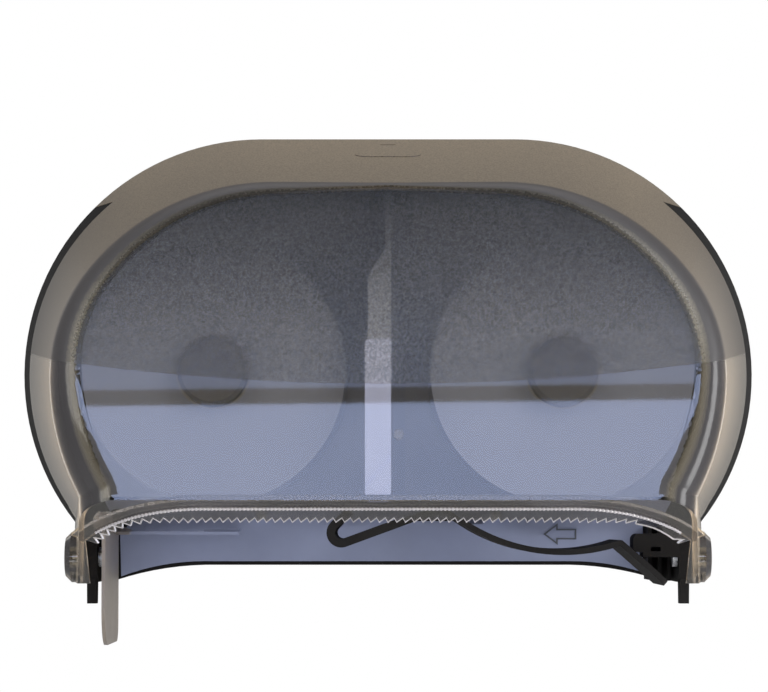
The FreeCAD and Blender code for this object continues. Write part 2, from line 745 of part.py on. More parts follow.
def make_cap(x):
    front = SPINDLE_FRONT - CAP_T
    face = rod_y(x, ROLL_Z, SPINDLE_R, front, SPINDLE_FRONT)
    face = face.makeChamfer(CAP_BEVEL, [e for e in face.Edges if abs(e.CenterOfMass.y - front) < NEAR])
    bore = SPINDLE_R - SPINDLE_T
    return face.fuse(tube_y(x, ROLL_Z, bore, bore - CAP_PLUG_T, SPINDLE_FRONT, SPINDLE_FRONT + CAP_PLUG))


def make_divider():
    half = DIVIDER_T / 2
    plate = poly_yz([(PANEL_FRONT, DIVIDER_FOOT), (DIVIDER_FRONT, DIVIDER_FOOT),
                     (DIVIDER_FRONT, DIVIDER_TOP - DIVIDER_CORNER),
                     (DIVIDER_FRONT + DIVIDER_CORNER, DIVIDER_TOP), (PANEL_FRONT, DIVIDER_TOP)], -half, half)
    flange = box(-DIVIDER_FLANGE, DIVIDER_FLANGE, PANEL_FRONT - DIVIDER_FLANGE_T, PANEL_FRONT,
                 DIVIDER_FOOT, DIVIDER_FLANGE_TOP)
    divider = cut_all(plate.fuse(flange), holes_y(DIVIDER_SCREWS, SCREW_HOLE_R, -FAR, FAR))
    return divider.removeSplitter()


def make_column():
    """Stepped strip along the divider's front edge, with a notch and a slanting groove."""
    front = DIVIDER_FRONT - COLUMN_T
    shoulder = COLUMN_TOP - COLUMN_SLANT
    outline = [(COLUMN_RIGHT, DIVIDER_FOOT), (COLUMN_LEFT_LOW, DIVIDER_FOOT),
               (COLUMN_LEFT_LOW, COLUMN_STEP_Z), (COLUMN_LEFT, COLUMN_STEP_Z), (COLUMN_LEFT, shoulder),
               (COLUMN_RIGHT - COLUMN_TIP, COLUMN_TOP), (COLUMN_RIGHT, COLUMN_TOP)]
    strip = poly_xz(outline, front, DIVIDER_FRONT)
    for corner_z, r in ((DIVIDER_FOOT, COLUMN_FOOT_ROUND), (shoulder, COLUMN_TOP_ROUND)):
        corner = edges_along(strip, vec(0, 1, 0), lambda c: abs(c.z - corner_z) < NEAR)
        strip = strip.makeFillet(r, corner)
    right = COLUMN_RIGHT + BLIND
    left = COLUMN_LEFT_LOW - BLIND
    notch = poly_xz([(right, NOTCH_Z[0]), (NOTCH_X[0], NOTCH_Z[0]),
                     (NOTCH_X[1], NOTCH_Z[1]), (right, NOTCH_Z[1])], front - BLIND, front + NOTCH_FLOOR)
    groove = poly_xz([(right, GROOVE_RIGHT_Z), (left, GROOVE_LEFT_Z), (left, GROOVE_LEFT_Z - GROOVE_W),
                      (right, GROOVE_RIGHT_Z - GROOVE_W)], front - BLIND, front + SINK)
    web = box(-DIVIDER_T / 2 - WEB_T, -DIVIDER_T / 2, DIVIDER_FRONT, DIVIDER_FRONT + WEB_DEEP,
              DIVIDER_FOOT + WEB_FOOT_RISE, COLUMN_TOP - WEB_TOP_DROP)
    return strip.cut(notch).cut(groove).fuse(web).removeSplitter()


def guard_bar(start, end, thick):
    """Flat stretch of the guard between two points of its bent section."""
    run = math.hypot(end[0] - start[0], end[1] - start[1])
    rise_deg = math.degrees(math.atan2(end[1] - start[1], end[0] - start[0]))
    bar = box(0, run, GUARD_FRONT, GUARD_BACK, -thick / 2, thick / 2)
    bar.rotate(vec(0, 0, 0), vec(0, -1, 0), rise_deg)
    bar.translate(vec(start[0], 0, start[1]))
    return bar


def guard_rod(spot, thick):
    return rod_y(spot[0], spot[1], thick / 2, GUARD_FRONT, GUARD_BACK)


def guard_sector(centre, r, thick, from_deg, to_deg):
    """Curved stretch of the guard, from one angle to a larger one less than a half turn on."""
    ring = tube_y(centre[0], centre[1], r + thick / 2, r - thick / 2, GUARD_FRONT, GUARD_BACK)
    rays = [around(centre[0], centre[1], FAR, from_deg + (to_deg - from_deg) * i / 3) for i in range(4)]
    return ring.common(poly_xz([centre] + rays, GUARD_FRONT, GUARD_BACK))


def make_ramp(crest):
    ramp = guard_bar(crest, RAMP_END, GUARD_T)
    corner = [e for e in ramp.Edges
              if e.CenterOfMass.y < GUARD_FRONT + NEAR and e.CenterOfMass.x > RAMP_END[0] - NEAR
              and e.Length < GUARD_T + NEAR]
    return ramp.makeFillet(RAMP_ROUND, corner)


def make_guard():
    """One bent strip: hooked left end, rising arm, scoop under the right roll, ramp at the right."""
    roll = (ROLL_X, ROLL_Z)
    crest = around(ROLL_X, ROLL_Z, GUARD_R, GUARD_RIGHT_DEG - 90)
    scoop = guard_sector(roll, GUARD_R, GUARD_T, -90 - GUARD_LEFT_DEG, -90 + GUARD_RIGHT_DEG)
    hook_t = HOOK_R_OUT - HOOK_R_IN
    hook_r = (HOOK_R_OUT + HOOK_R_IN) / 2
    arm_deg = math.degrees(math.atan2(GUARD_APEX[1] - HOOK_C[1] + hook_r, GUARD_APEX[0] - HOOK_C[0]))
    arm_foot = around(HOOK_C[0], HOOK_C[1], hook_r, arm_deg - 90)
    hook_top = around(HOOK_C[0], HOOK_C[1], hook_r, HOOK_BACK_DEG + 90)
    tail_end = around(hook_top[0], hook_top[1], HOOK_TAIL, HOOK_BACK_DEG)
    hook = guard_sector(HOOK_C, hook_r, hook_t, HOOK_BACK_DEG + 90, arm_deg + 270)
    web = poly_xz([(GUARD_WEB_X[0], GUARD_WEB_Z), GUARD_APEX, (GUARD_WEB_X[1], GUARD_WEB_Z)],
                  GUARD_BACK - GUARD_WEB_T, GUARD_BACK)
    pieces = [make_ramp(crest), guard_rod(crest, GUARD_T), guard_bar(arm_foot, GUARD_APEX, hook_t),
              guard_rod(GUARD_APEX, hook_t), hook, guard_bar(hook_top, tail_end, hook_t),
              guard_rod(tail_end, hook_t), web]
    return fuse_all(scoop, pieces).removeSplitter()


def rail_spots():
    middle = (RAIL_Z0 + RAIL_Z1) / 2
    return [(RAIL_X0 + RAIL_FOOT / 2, middle), (RAIL_X1 - RAIL_FOOT / 2, middle)]


def make_rail():
    rail = box(RAIL_X0, RAIL_X1, RAIL_Y0, RAIL_Y1, RAIL_Z0, RAIL_Z1)
    for x0 in (RAIL_X0, RAIL_X1 - RAIL_FOOT):
        rail = rail.fuse(box(x0, x0 + RAIL_FOOT, RAIL_Y1, PANEL_FRONT, RAIL_Z0, RAIL_Z1))
    return cut_all(rail, holes_y(rail_spots(), SCREW_HOLE_R, -FAR, FAR)).removeSplitter()


def make_shoe():
    """Slider that grips the rail with two lips."""
    g = SLIDE_GAP
    wall = g + SHOE_WALL
    block = box(SHOE_X0, SHOE_X1, GUARD_BACK, RAIL_Y1 + wall, RAIL_Z0 - wall, RAIL_Z1 + wall)
    slot = box(-FAR, FAR, RAIL_Y0 - g, RAIL_Y1 + g, RAIL_Z0 - g, RAIL_Z1 + g)
    mouth = box(-FAR, FAR, RAIL_Y1, FAR, RAIL_Z0 + SHOE_LIP, RAIL_Z1 - SHOE_LIP)
    relief = box(SHOE_X0 + SHOE_END, SHOE_X1 - SHOE_END,
                 SHOE_RELIEF_Y, SHOE_RELIEF_Y + SHOE_RELIEF, -FAR, FAR)
    return cut_all(block, [slot, mouth, relief])


def make_stop():
    block = box(STOP_X0, ARM_IN, STOP_Y0, STOP_Y1, STOP_Z0, STOP_Z1)
    block = block.makeFillet(STOP_ROUND, edges_along(block, vec(0, 1, 0), lambda c: c.x < STOP_X0 + NEAR))
    ledge = box(STOP_LEDGE_X, ARM_IN, STOP_Y0, STOP_Y1, STOP_Z0 - STOP_LEDGE, STOP_Z0)
    slot = box(*STOP_SLOT_X, STOP_Y0 - BLIND, STOP_Y0 + STOP_SLOT_DEEP, *STOP_SLOT_Z)
    pin_room = rod_x(HINGE_Y, HINGE_Z, PIN_HEAD_R + PIN_ROOM, ARM_IN - PIN_HEAD_T - PIN_ROOM, FAR)
    return cut_all(block.fuse(ledge), [slot, pin_room]).removeSplitter()


def make_lever():
    """Hanging paddle with a hub along its top and a tongue that reaches under the left roll."""
    half = LEVER_T / 2
    paddle = box(LEVER_X - half, LEVER_X + half, LEVER_FRONT, LEVER_BACK, LEVER_FOOT, LEVER_Z)
    for edge_y, r in ((LEVER_FRONT, LEVER_ROUND), (LEVER_BACK, LEVER_BACK_ROUND)):
        corner = edges_along(paddle, vec(1, 0, 0),
                             lambda c: c.z < LEVER_FOOT + NEAR and abs(c.y - edge_y) < NEAR)
        paddle = paddle.makeFillet(r, corner)
    hub = rod_y(LEVER_X, LEVER_Z, HUB_R, LEVER_FRONT, LEVER_BACK)
    tongue = box(LEVER_X, TONGUE_END, TONGUE_FRONT, LEVER_BACK, TONGUE_Z, TONGUE_Z + TONGUE_T)
    middle = (TONGUE_FRONT + LEVER_BACK) / 2
    gusset_top = LEVER_Z - GUSSET_DROP
    gusset = poly_xz([(LEVER_X, gusset_top), (LEVER_X, TONGUE_Z), (LEVER_X + GUSSET_RUN, TONGUE_Z)],
                     middle - GUSSET_T / 2, middle + GUSSET_T / 2)
    lever = fuse_all(paddle, [hub, tongue, gusset])
    return lever.cut(rod_y(LEVER_X, LEVER_Z, SHAFT_R + RUN_FIT, -FAR, FAR)).removeSplitter()


def make_brake_pad():
    seat = TONGUE_Z + TONGUE_T
    return box(TONGUE_END - PAD_LENGTH, TONGUE_END, TONGUE_FRONT + PAD_MARGIN, LEVER_BACK - PAD_MARGIN,
               seat, seat + PAD_THICK)


def make_shaft():
    shaft = rod_y(LEVER_X, LEVER_Z, SHAFT_R, LEVER_FRONT - SHAFT_TAIL, -BLIND)
    back = LEVER_FRONT - CLIP_BACK
    return shaft.cut(tube_y(LEVER_X, LEVER_Z, CLIP_R, SHAFT_R - CLIP_DEEP, back - CLIP_SEAT, back))


def make_clip():
    back = LEVER_FRONT - CLIP_BACK - (CLIP_SEAT - CLIP_T) / 2
    clip = tube_y(LEVER_X, LEVER_Z, CLIP_R, SHAFT_R - CLIP_DEEP, back - CLIP_T, back)
    half = CLIP_MOUTH / 2
    return clip.cut(box(LEVER_X - half, LEVER_X + half, -FAR, FAR, LEVER_Z, FAR))


def make_hinge_pin():
    """Headed pin from the arm into the right ear."""
    pin = rod_x(HINGE_Y, HINGE_Z, HINGE_PIN_R, ARM_IN, EAR_OUT - EAR_SKIN - BLIND)
    return pin.fuse(rod_x(HINGE_Y, HINGE_Z, PIN_HEAD_R, ARM_IN - PIN_HEAD_T, ARM_IN)).removeSplitter()


def key_slot(z0, z1):
    middle = BOLT_FRONT + BOLT_T / 2
    return box(-KEY_HALF, KEY_HALF, middle - KEY_W / 2, middle + KEY_W / 2, z0, z1)


def make_bolt():
    """Upright bolt with a head that rests on the guide and a split barb that keeps it in."""
    back = BOLT_FRONT + BOLT_T
    body = box(-BOLT_HALF, BOLT_HALF, BOLT_FRONT, back, BOLT_Z0, BOLT_Z1)
    head = box(-BOLT_HEAD_HALF, BOLT_HEAD_HALF, BOLT_FRONT, back, LOCK_GUIDE_Z1, BOLT_Z1)
    barb_top = BOLT_Z0 + BOLT_BARB_H
    barb = poly_xz([(-BOLT_HALF, BOLT_Z0), (BOLT_HALF, BOLT_Z0), (BOLT_BARB_HALF, barb_top),
                    (-BOLT_BARB_HALF, barb_top)], BOLT_FRONT, back)
    slit = box(-BOLT_SLIT / 2, BOLT_SLIT / 2, -FAR, FAR, -FAR, BOLT_SLIT_TOP)
    return cut_all(fuse_all(body, [head, barb]), [slit, key_slot(BOLT_Z1 - KEY_DEEP, FAR)]).removeSplitter()


def make_lock_guide():
    """Bracket on the housing floor with a square eye that the bolt slides in."""
    plate = box(-LOCK_PLATE_HALF, LOCK_PLATE_HALF, -FLOOR_T - LOCK_PLATE_T, -FLOOR_T,
                LOCK_GUIDE_Z0, LOCK_PLATE_TOP)
    arms = box(-LOCK_GUIDE_HALF, LOCK_GUIDE_HALF, LOCK_GUIDE_FRONT, -FLOOR_T, LOCK_GUIDE_Z0, LOCK_GUIDE_Z1)
    inner = BOLT_HALF + GAP
    eye = box(-inner, inner, BOLT_FRONT - GAP, BOLT_FRONT + BOLT_T + GAP, -FAR, FAR)
    hollow = box(-inner, inner, LOCK_GUIDE_BACK, -FLOOR_T - LOCK_PLATE_T, -FAR, FAR)
    guide = plate.fuse(arms.cut(eye).cut(hollow))
    return cut_all(guide, holes_y(LOCK_SCREWS, SCREW_HOLE_R, -FAR, FAR)).removeSplitter()


os.makedirs("parts", exist_ok=True)

# Cover
save(make_hood(), "front_cover")
save(make_catch(), "lock_catch")
save(make_strip(), "tear_strip")

# Housing, panel and divider
save(make_housing(), "rear_housing")
save(make_panel(), "back_panel")
save(screws(PANEL_SCREWS, PANEL_FRONT, PANEL_SCREW_LEN), "panel_screws")
save(make_divider(), "centre_divider")
save(make_column(), "divider_column")
save(screws(DIVIDER_SCREWS, PANEL_FRONT - DIVIDER_FLANGE_T, DIVIDER_FLANGE_T), "divider_screws")

# Rolls on their spindles
for side, x in (("left", -ROLL_X), ("right", ROLL_X)):
    save(make_spindle(x), "spindle_" + side)
    save(make_cap(x), "spindle_cap_" + side)
    save(tube_y(x, ROLL_Z, CORE_R, CORE_R - CORE_T, ROLL_FRONT, ROLL_BACK), "roll_core_" + side)
    save(tube_y(x, ROLL_Z, ROLL_R, CORE_R, ROLL_FRONT, ROLL_BACK), "paper_roll_" + side)
spindle_spots = spindle_screw_spots(-ROLL_X) + spindle_screw_spots(ROLL_X)
save(screws(spindle_spots, PANEL_FRONT - FLANGE_T, FLANGE_T), "spindle_screws")

# Reserve guard
save(make_guard(), "reserve_guard")
save(make_shoe(), "guard_shoe")
save(make_rail(), "guard_rail")
save(screws(rail_spots(), RAIL_Y0, PANEL_FRONT - RAIL_Y0), "rail_screws")
save(make_stop(), "guard_stop")

# Brake lever
save(make_lever(), "brake_lever")
save(make_brake_pad(), "brake_pad")
save(make_shaft(), "lever_shaft")
save(make_clip(), "lever_clip")

# Cover hinge pins
hinge_pin = make_hinge_pin()
save(hinge_pin, "hinge_pin_right")
save(mirror(hinge_pin), "hinge_pin_left")

# Lock
save(make_bolt(), "lock_bolt")
save(make_lock_guide(), "lock_guide")
save(screws(LOCK_SCREWS, -FLOOR_T - LOCK_PLATE_T, LOCK_SCREW_LEN), "lock_screws")
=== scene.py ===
import json
import math

import bpy
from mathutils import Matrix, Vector


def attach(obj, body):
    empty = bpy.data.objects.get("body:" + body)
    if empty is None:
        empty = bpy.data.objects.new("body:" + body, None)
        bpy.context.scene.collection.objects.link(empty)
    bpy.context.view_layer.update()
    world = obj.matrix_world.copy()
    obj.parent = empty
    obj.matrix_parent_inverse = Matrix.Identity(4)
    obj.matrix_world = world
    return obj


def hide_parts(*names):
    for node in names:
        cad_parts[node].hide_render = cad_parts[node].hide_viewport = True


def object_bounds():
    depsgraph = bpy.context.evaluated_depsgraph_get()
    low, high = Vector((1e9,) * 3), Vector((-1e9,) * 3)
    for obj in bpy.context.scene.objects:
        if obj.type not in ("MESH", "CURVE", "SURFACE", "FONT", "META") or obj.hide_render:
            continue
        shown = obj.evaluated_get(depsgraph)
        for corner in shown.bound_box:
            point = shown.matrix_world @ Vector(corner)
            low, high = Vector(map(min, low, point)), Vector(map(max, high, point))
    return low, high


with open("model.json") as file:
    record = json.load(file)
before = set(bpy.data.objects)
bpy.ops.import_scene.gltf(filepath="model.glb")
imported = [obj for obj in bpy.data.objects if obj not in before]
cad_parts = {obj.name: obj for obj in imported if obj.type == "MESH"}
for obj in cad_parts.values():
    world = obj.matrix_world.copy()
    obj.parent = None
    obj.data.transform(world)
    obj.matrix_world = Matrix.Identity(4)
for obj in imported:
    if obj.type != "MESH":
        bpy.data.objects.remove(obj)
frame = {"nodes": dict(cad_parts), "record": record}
cad_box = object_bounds()

# Camera of the photograph, metres and degrees
CAMERA_AT = (0.0, -1.630, -0.0876)
LENS_MM = 144.03
SENSOR_MM = 36.0
PITCH_DEG = 3.334
YAW_DEG = 0.0746

# Front face of the hood, and the line between its frosted top and its clear window:
# height in the middle, rise outwards and backwards
FACE_Y = -0.150
FACE_TOP = 0.078
FROST_Z = -0.0197
FROST_CURVE = 0.44
FROST_BACK = 0.05
LINE_SOFT = 0.0004

# Sloping chin and the mouth edge in it
CHIN_Z = -0.0756
CHIN_DOWN = Vector((0, 0.86195, -0.50702))
CHIN_IN = Vector((0, 0.50702, 0.86195))
MOUTH_HALF = 0.090
MOUTH_EDGE = 0.009
MOUTH_R = 0.072

# Ribbed bead along the mouth edge
BEAD_TURN_DEG = 46.0
BEAD_R = 0.00065
BEAD_RIB = 0.00022
BEAD_OUT = 0.0015
BEAD_PITCH = 0.0019
BEAD_STEPS = 6
BEAD_SIDES = 8

# Toothed strip behind the chin: lap under it, reach into the mouth that shortens round the bends
STRIP_IN = 0.0030
STRIP_T = 0.0018
STRIP_LAP = 0.006
STRIP_REACH = 0.0178
STRIP_END_REACH = 0.0088
TAPER_FROM_DEG = 5.0
TAPER_TO_DEG = 42.0
STRIP_TURN_DEG = 60.0
STRIP_SIDES = 4

# Its teeth, their rounded edge that is painted pale as a highlight, and the smooth stretch at the
# right
TOOTH_PITCH = 0.00425
TOOTH_DEPTH = 0.0042
TOOTH_LEAN = 0.2
TOOTH_EDGE_R = 0.0007
SMOOTH_FROM = 0.121
SMOOTH_TO = 0.141

# Middle of the rolls, the arrow on the panel, the step in the column, the lever's tongue
ROLL_X = 0.0863
ROLL_Z = -0.012
ARROW_LOW = (0.080, -0.102)
ARROW_HIGH = (0.101, -0.083)
ARROW_FRONT = -0.0081
STEP_Z = 0.0026
TONGUE_SPAN = (-0.135, -0.133)

# Colours as they are written on the shaders
SMOKE = (0.60, 0.54, 0.42, 1)
CHIN = (0.61, 0.57, 0.52, 1)
FROST = (0.56, 0.49, 0.345, 1)
BAND = (0.27, 0.215, 0.15, 1)
# Frosted sides: a darker copy of the band colour, as painted shade
SIDE_FROST_SHADE = (0.138, 0.114, 0.09, 1)
BAND_CLEAR = (0.46, 0.39, 0.30, 1)
# Bends between face and bands: painted shade
BEND_SHADE = (0.10, 0.095, 0.10, 1)
STRIP = (0.43, 0.40, 0.37, 1)
# Pale colour of the mouth bead: a painted highlight of the mouth edge
BEAD_HIGHLIGHT = (0.70, 0.665, 0.70, 1)
# Pale paint of the rounded tooth edge: a painted highlight
EDGE_HIGHLIGHT = (0.86, 0.86, 0.92, 1)
LEVER = (0.48, 0.42, 0.365, 1)
PAPER = (0.175, 0.20, 0.31, 1)
PANEL = (0.285, 0.32, 0.465, 1)
ARROW = (0.10, 0.11, 0.13, 1)
COLUMN_HIGH = (0.25, 0.29, 0.46, 1)
# Lit copy of the column colour: painted light below the step
COLUMN_LOW_LIT = (0.42, 0.50, 0.92, 1)
BLACK = (0.018, 0.017, 0.017, 1)
PAD = (0.22, 0.245, 0.35, 1)
BOARD = (0.20, 0.20, 0.24, 1)
CAP = (0.060, 0.063, 0.085, 1)
STEEL_DARK = (150, 152, 156)
STEEL_LIGHT = (196, 198, 202)

# Moulded pieces: colour, roughness, grain scale, grain height, colour spread, specular level
MOULDED = {
    "black_plastic": (BLACK, 0.7, 1500.0, 0.00006, 0.15, 0.06),
    "blue_grey_panel": (PANEL, 0.55, 1200.0, 0.00005, 0.06, 0.3),
    "pale_plastic": (COLUMN_HIGH, 0.45, 1200.0, 0.00004, 0.06, 0.3),
    "column": (COLUMN_HIGH, 0.45, 1200.0, 0.00004, 0.06, 0.3),
    "rubber_pad": (PAD, 0.75, 900.0, 0.0001, 0.15, 0.1),
    "white_acetal": (PANEL, 0.6, 1200.0, 0.00004, 0.06, 0.05),
    "cardboard": (BOARD, 0.85, 700.0, 0.0001, 0.1, 0.1),
    "spindle_cap": (CAP, 0.6, 1200.0, 0.00005, 0.06, 0.1),
    "cut_edge": (EDGE_HIGHLIGHT, 0.3, 1200.0, 0.00003, 0.06, 0.3),
}
MOTTLE_SCALE = 35.0
NOISE_SPAN = (0.3, 0.7)
GLOSS_SPREAD = 0.08
MOULD_BUMP = 0.5

# See-through pieces: colour, roughness, share of light let through
CLEAR = {
    "clear_strip": (STRIP, 0.04, 1.0),
    "smoke_lever": (LEVER, 0.3, 0.66),
    "bead": (BEAD_HIGHLIGHT, 0.1, 0.35),
}
TONGUE_THROUGH = 0.1
PLASTIC_IOR = 1.49
FLOW_SCALE = 60.0
FLOW_SHADE = 0.9
RIPPLE_SCALE = 900.0
RIPPLE_BUMP = (0.2, 0.00005)

# Zones of the hood by how squarely the surface faces: where each one starts and where it is full
BEND_ZONE = (0.25, 0.5)
FLAT_ZONE = (0.9, 0.99)
CHIN_ZONE = (0.9, 0.97)
SIDE_ZONE = (0.5, 0.95)

# Fine grain of the hood, with its dark and light share of the colour
GRAIN_SCALE = 1150.0
GRAIN_SPAN = (0.38, 0.62)
FROST_GRAIN = (0.64, 1.18)
BAND_GRAIN = (0.72, 1.36)
HOOD_BUMP = (0.15, 0.0001)
WINDOW_CALM = 0.15

# Painted light and shade graded over the hood along a height or a depth: from, to, and the levels
# there
# Painted shade: the frosted face darkens towards its top
FROST_TOP_SHADE = (0.005, FACE_TOP, 0.95, 0.22)
# Painted light: the top band lightens towards its back
TOP_BAND_LIGHT = (FACE_Y, 0.0, 0.88, 1.22)
# Painted light at the front of the sides, painted shade towards their back
SIDE_LIGHT_FADE = (-0.128, -0.05, 1.6, 0.65)
# Painted light low on the sides by the ears
EAR_LIGHT_FADE = (-0.090, -0.075, 1.7, 1.0)

# Roughness of the hood and the share of light it lets through
CLEAR_ROUGH = 0.02
FROST_ROUGH = (0.20, 0.26)
BAND_ROUGH = (0.15, 0.45)
BAND_THROUGH = (0.5, 0.25)
BEND_THROUGH = 0.4

# Tissue: pitch of the sheet edges, how far they wander, and their shade
SHEET_PITCH = 0.0011
WANDER_SCALE = 60.0
FLUFF_SCALE = 900.0
SHEET_SHADE = (0.985, 1.015)
PAPER_ROUGH = 0.9
PAPER_SPECULAR = 0.1
PAPER_BUMP = (0.05, 0.0002)

# Steel
SCRATCH_SCALE = 800.0
STEEL_ROUGH = (0.22, 0.40)
STEEL_BUMP = (0.2, 0.00003)

# Floor, world, lamps (place, width, height, power) and reflector cards (foot, top, level)
FLOOR_SIZE = 14.0
FLOOR_Z = -0.8
FLOOR_GREY = 236
FLOOR_ROUGH = 0.9
FLOOR_SHINE = 0.4
WORLD_LEVEL = 0.3
LAMPS = {
    "key": ((1.2, -1.7, 0.8), 1.0, 1.2, 16.0),
    "fill": ((-1.4, -1.6, 0.3), 1.0, 1.2, 9.0),
    "low_fill": ((0.0, -1.8, -0.75), 1.6, 0.3, 6.0),
    "top_light": ((0.0, -0.3, 1.4), 1.6, 1.0, 6.0),
    "side_light": ((1.7, -0.5, -0.2), 0.5, 1.6, 13.0),
    "rim_left": ((-1.05, 1.1, 0.0), 0.25, 1.4, 1.6),
    "rim_right": ((1.05, 1.1, 0.0), 0.25, 1.4, 1.6),
}
CARDS = {"low_card": (-0.075, 0.0526, 1.0), "high_card": (0.071, 0.11, 0.52)}
CARD_Y = -2.2
CARD_HALF = 1.05
CARD_TILT_DEG = -0.65
CARD_LIGHT = (4.0, 4.9, 7.7, 1.0)


# Colours and nodes
def srgb(red, green, blue):
    """Linear colour of an 8-bit screen colour."""
    def linear(level):
        c = level / 255
        return c / 12.92 if c <= 0.04045 else ((c + 0.055) / 1.055) ** 2.4
    return linear(red), linear(green), linear(blue), 1.0


def scaled(colour, level):
    return tuple(level * c for c in colour[:3]) + (1.0,)


def start(name):
    """New material, its node tree and its main shader."""
    made = bpy.data.materials.new(name)
    made.use_nodes = True
    tree = made.node_tree
    return made, tree, tree.nodes["Principled BSDF"]


def node(tree, kind, inputs, **settings):
    """New node with its settings, and its inputs set to values or linked to sockets."""
    made = tree.nodes.new(kind)
    for key, value in settings.items():
        setattr(made, key, value)
    for key, value in inputs.items():
        join(tree, value, made.inputs[key])
    return made


def join(tree, value, socket):
    if isinstance(value, bpy.types.NodeSocket):
        tree.links.new(value, socket)
    else:
        socket.default_value = value


def place(tree):
    return node(tree, "ShaderNodeTexCoord", {}).outputs["Object"]


def axes(tree, where):
    split = node(tree, "ShaderNodeSeparateXYZ", {0: where})
    return tuple(split.outputs[axis] for axis in "XYZ")


def math_node(tree, operation, first, second=0.0):
    return node(tree, "ShaderNodeMath", {0: first, 1: second}, operation=operation).outputs[0]


def along(tree, direction):
    """How far the surface faces along the direction, either way."""
    normal = node(tree, "ShaderNodeTexCoord", {}).outputs["Normal"]
    inputs = {0: normal, 1: tuple(direction)}
    facing = node(tree, "ShaderNodeVectorMath", inputs, operation="DOT_PRODUCT")
    return math_node(tree, "ABSOLUTE", facing.outputs["Value"])


def tinted(tree, colour, level):
    """Colour times a level that varies over the surface."""
    inputs = {0: colour, "Scale": level}
    return node(tree, "ShaderNodeVectorMath", inputs, operation="SCALE").outputs[0]


def noise(tree, where, scale, detail=3.0):
    inputs = {"Vector": where, "Scale": scale, "Detail": detail}
    return node(tree, "ShaderNodeTexNoise", inputs).outputs["Fac"]


def ramp(tree, value, low, high, to_low=0.0, to_high=1.0):
    inputs = {"Value": value, "From Min": low, "From Max": high,
              "To Min": to_low, "To Max": to_high}
    return node(tree, "ShaderNodeMapRange", inputs).outputs["Result"]


def blend_colour(tree, value, first, second):
    inputs = {0: value, 6: first, 7: second}
    return node(tree, "ShaderNodeMix", inputs, data_type="RGBA").outputs[2]


def blend_value(tree, value, first, second):
    return node(tree, "ShaderNodeMix", {0: value, 2: first, 3: second}).outputs[0]


def shades(tree, value, colour, shares):
    """Blend between a darker and a lighter share of a colour."""
    return blend_colour(tree, value, scaled(colour, shares[0]), scaled(colour, shares[1]))


def bump(tree, shader, height, strength, distance):
    inputs = {"Height": height, "Strength": strength, "Distance": distance}
    join(tree, node(tree, "ShaderNodeBump", inputs).outputs["Normal"], shader.inputs["Normal"])


def repaint(made, mask, colour):
    """Blends another colour into a finished material where the mask is 1."""
    tree = made.node_tree
    base = tree.nodes["Principled BSDF"].inputs["Base Color"]
    join(tree, blend_colour(tree, mask, base.links[0].from_socket, colour), base)


# Materials
def moulded(name, colour, rough, grain, height, spread, specular):
    """Moulded plastic: mottled colour, uneven gloss and a fine texture."""
    made, tree, shader = start(name)
    where = place(tree)
    mottle = ramp(tree, noise(tree, where, MOTTLE_SCALE), *NOISE_SPAN)
    fine = noise(tree, where, grain, 2.0)
    join(tree, shades(tree, mottle, colour, (1 - spread, 1 + spread)), shader.inputs["Base Color"])
    gloss = ramp(tree, fine, *NOISE_SPAN, rough - GLOSS_SPREAD, rough + GLOSS_SPREAD)
    join(tree, gloss, shader.inputs["Roughness"])
    shader.inputs["Specular IOR Level"].default_value = specular
    bump(tree, shader, fine, MOULD_BUMP, height)
    return made


def panel_sheet():
    """Satin liner with the raised outline arrow printed dark."""
    made = moulded("blue_grey_panel", *MOULDED["blue_grey_panel"])
    tree = made.node_tree
    x, y, z = axes(tree, place(tree))
    inside = math_node(tree, "LESS_THAN", y, ARROW_FRONT)
    for value, low, high in zip((x, z), ARROW_LOW, ARROW_HIGH):
        inside = math_node(tree, "MULTIPLY", inside, math_node(tree, "GREATER_THAN", value, low))
        inside = math_node(tree, "MULTIPLY", inside, math_node(tree, "LESS_THAN", value, high))
    repaint(made, inside, ARROW)
    return made


def stepped_column():
    """Pale strip, with painted light making it brighter below its step."""
    made = moulded("column", *MOULDED["column"])
    tree = made.node_tree
    up = axes(tree, place(tree))[2]
    # Painted light: the column is brighter below its step
    repaint(made, ramp(tree, up, STEP_Z - LINE_SOFT, STEP_Z + LINE_SOFT, 1.0, 0.0), COLUMN_LOW_LIT)
    return made


def wound_paper():
    """Soft tissue: rings of sheet edges on the faces, fine creases all over."""
    made, tree, shader = start("paper")
    where = place(tree)
    x, _, z = axes(tree, where)
    across = math_node(tree, "SUBTRACT", math_node(tree, "ABSOLUTE", x), ROLL_X)
    up = math_node(tree, "SUBTRACT", z, ROLL_Z)
    squares = [math_node(tree, "MULTIPLY", value, value) for value in (across, up)]
    out = math_node(tree, "SQRT", math_node(tree, "ADD", *squares))
    fluff = noise(tree, where, FLUFF_SCALE)
    wander = math_node(tree, "MULTIPLY", noise(tree, where, WANDER_SCALE), 2 * SHEET_PITCH)
    run = math_node(tree, "ADD", out, wander)
    turns = math_node(tree, "MULTIPLY", run, 2 * math.pi / SHEET_PITCH)
    rings = ramp(tree, math_node(tree, "SINE", turns), -1.0, 1.0)
    join(tree, shades(tree, rings, PAPER, SHEET_SHADE), shader.inputs["Base Color"])
    shader.inputs["Roughness"].default_value = PAPER_ROUGH
    shader.inputs["Specular IOR Level"].default_value = PAPER_SPECULAR
    bump(tree, shader, math_node(tree, "ADD", rings, fluff), *PAPER_BUMP)
    return made


def frost_mask(tree, x, y, z):
    """1 above the curved line where the hood is frosted, 0 in the clear window below it."""
    rise = math_node(tree, "MULTIPLY", math_node(tree, "MULTIPLY", x, x), FROST_CURVE)
    back = math_node(tree, "MULTIPLY", math_node(tree, "SUBTRACT", y, FACE_Y), FROST_BACK)
    line = math_node(tree, "ADD", math_node(tree, "ADD", rise, back), FROST_Z)
    return ramp(tree, math_node(tree, "SUBTRACT", z, line), -LINE_SOFT, LINE_SOFT)


